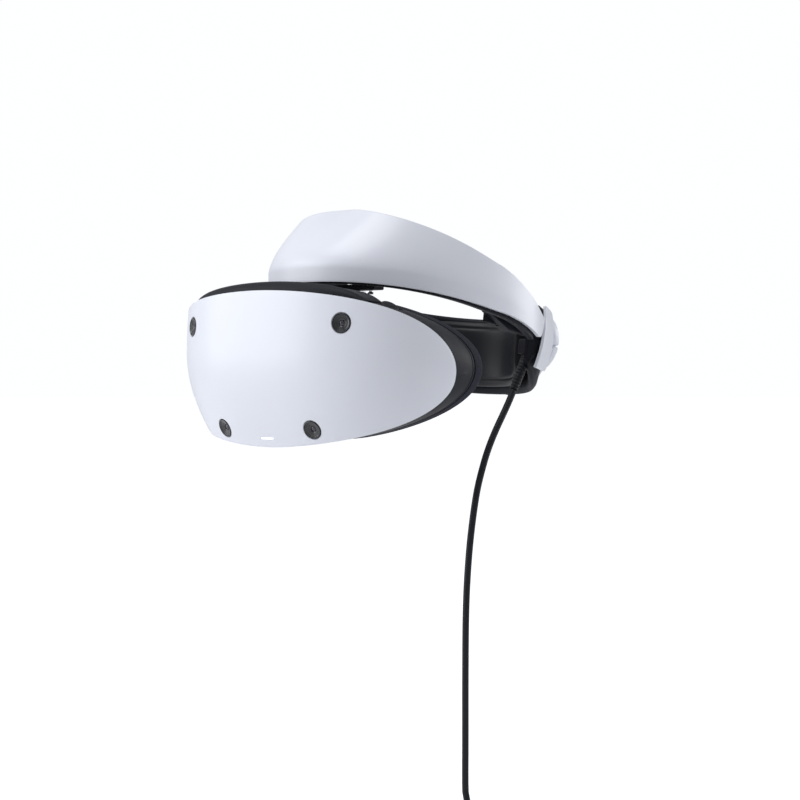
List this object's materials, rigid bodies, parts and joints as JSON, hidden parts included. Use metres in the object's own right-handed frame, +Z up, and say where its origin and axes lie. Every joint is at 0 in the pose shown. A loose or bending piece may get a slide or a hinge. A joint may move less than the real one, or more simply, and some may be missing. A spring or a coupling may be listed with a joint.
{
  "type": "vr headset",
  "caption": "Virtual reality headset with a sliding front scope, a stiff halo band, a dial-adjusted rear unit and a long coiled cable.",
  "frame": {"origin": "centre of the wearer's head, in the middle of the space that the band encloses", "axes": "-Y forwards out of the visor, +X to the wearer's left, +Z up"},
  "size_m": [0.2098, 0.2805, 0.427],
  "materials": {
    "white_shell": "satin cool white moulded plastic with a very fine grain",
    "black_shell": "fine-textured black moulded plastic",
    "gloss_black": "polished black plastic",
    "shield_rubber": "soft matte silicone rubber",
    "pad_vinyl": "smooth wipe-clean vinyl over foam",
    "camera_glass": "coated dark camera lens",
    "eye_glass": "coated ridged eye lens",
    "light_diffuser": "white light diffuser",
    "steel": "bright steel",
    "alloy": "milled aluminium",
    "circuit_board": "solder-masked circuit board",
    "cable_rubber": "matte black cable jacket"
  },
  "bodies": {
    "headband": {"band_cover": "white_shell", "band_frame": "black_shell", "forehead_pad": "pad_vinyl", "rail_bracket": "black_shell", "slide_rail_left": "steel", "slide_rail_right": "steel", "bracket_screw_left": "steel", "bracket_screw_right": "steel", "side_guide_left": "black_shell", "side_guide_right": "black_shell"},
    "scope": {"visor_cover": "white_shell", "status_light": "light_diffuser", "camera_ring_top_left": "gloss_black", "camera_ring_top_right": "gloss_black", "camera_ring_bottom_left": "gloss_black", "camera_ring_bottom_right": "gloss_black", "camera_lens_top_left": "camera_glass", "camera_lens_top_right": "camera_glass", "camera_lens_bottom_left": "camera_glass", "camera_lens_bottom_right": "camera_glass", "scope_housing": "black_shell", "top_cover": "black_shell", "light_shield": "shield_rubber", "lens_plate": "black_shell", "main_board": "circuit_board", "heat_spreader": "alloy", "fan_housing": "black_shell", "face_sensor": "gloss_black"},
    "left_optics": {"lens_barrel_left": "black_shell", "lens_left": "eye_glass", "display_left": "gloss_black"},
    "right_optics": {"lens_barrel_right": "black_shell", "lens_right": "eye_glass", "display_right": "gloss_black"},
    "eye_dial": {"eye_distance_dial": "black_shell"},
    "fan": {"fan_rotor": "black_shell"},
    "power_key": {"power_button": "gloss_black"},
    "function_key": {"function_button": "gloss_black"},
    "scope_key": {"scope_release": "gloss_black"},
    "rear_unit": {"rear_cover": "white_shell", "rear_frame": "black_shell", "rear_pad": "pad_vinyl", "arm_left": "black_shell", "arm_right": "black_shell", "audio_socket": "steel", "cable_anchor": "black_shell", "cable_gland": "cable_rubber", "cable": "cable_rubber", "cable_coil": "cable_rubber", "coil_tie": "cable_rubber", "plug_body": "black_shell", "plug_shell": "steel"},
    "left_rack": {"rack_left": "black_shell"},
    "right_rack": {"rack_right": "black_shell"},
    "dial": {"adjust_dial": "white_shell", "drive_pinion": "steel", "button_spring": "steel"},
    "release_key": {"release_button": "white_shell"}
  },
  "joints": [
    {"name": "scope_slide", "type": "slide", "parent": "headband", "child": "scope", "axis": [0, 1, 0], "range_m": [0, 0.023]},
    {"name": "left_eye_slide", "type": "slide", "parent": "scope", "child": "left_optics", "axis": [1, 0, 0], "range_m": [-0.0035, 0.0035]},
    {"name": "right_eye_slide", "type": "slide", "parent": "scope", "child": "right_optics", "axis": [1, 0, 0], "range_m": [-0.0035, 0.0035]},
    {"name": "eye_dial_turn", "type": "hinge", "parent": "scope", "child": "eye_dial", "pos_m": [0.068, -0.1, -0.0005], "axis": [0.5299, 0, 0.848], "range_deg": [-136, 136]},
    {"name": "fan_spin", "type": "hinge", "parent": "scope", "child": "fan", "pos_m": [0, -0.1352, -0.028], "axis": [0, 1, 0], "continuous": true},
    {"name": "power_press", "type": "slide", "parent": "scope", "child": "power_key", "axis": [0, 0, 1], "range_m": [0, 0.001], "stiffness_N_per_m": 600},
    {"name": "function_press", "type": "slide", "parent": "scope", "child": "function_key", "axis": [0, 0, 1], "range_m": [0, 0.001], "stiffness_N_per_m": 600},
    {"name": "scope_release_press", "type": "slide", "parent": "scope", "child": "scope_key", "axis": [0.529, 0, -0.8486], "range_m": [0, 0.0015], "stiffness_N_per_m": 600},
    {"name": "rear_slide", "type": "slide", "parent": "headband", "child": "rear_unit", "axis": [0, 0.9903, -0.1392], "range_m": [0, 0.04]},
    {"name": "left_rack_turn", "type": "hinge", "parent": "rear_unit", "child": "left_rack", "pos_m": [0, 0.04162, -0.00526], "axis": [0, 0.1392, 0.9903], "range_deg": [-37.9, 0]},
    {"name": "right_rack_turn", "type": "hinge", "parent": "rear_unit", "child": "right_rack", "pos_m": [0, 0.04162, -0.00526], "axis": [0, 0.1392, 0.9903], "range_deg": [0, 37.9]},
    {"name": "dial_turn", "type": "hinge", "parent": "rear_unit", "child": "dial", "pos_m": [0, 0.10181, -0.0117], "axis": [0, 0.9903, -0.1392], "range_deg": [0, 382]},
    {"name": "release_press", "type": "slide", "parent": "dial", "child": "release_key", "axis": [0, -0.9903, 0.1392], "range_m": [0, 0.0024], "stiffness_N_per_m": 500}
  ],
  "couplings": [
    {"joint": "right_eye_slide", "follows": "left_eye_slide", "ratio": -1},
    {"joint": "eye_dial_turn", "follows": "left_eye_slide", "rad_per_m": 673.2},
    {"joint": "left_rack_turn", "follows": "rear_slide", "rad_per_m": -16.529},
    {"joint": "right_rack_turn", "follows": "rear_slide", "rad_per_m": 16.529},
    {"joint": "dial_turn", "follows": "rear_slide", "rad_per_m": 166.67}
  ]
}
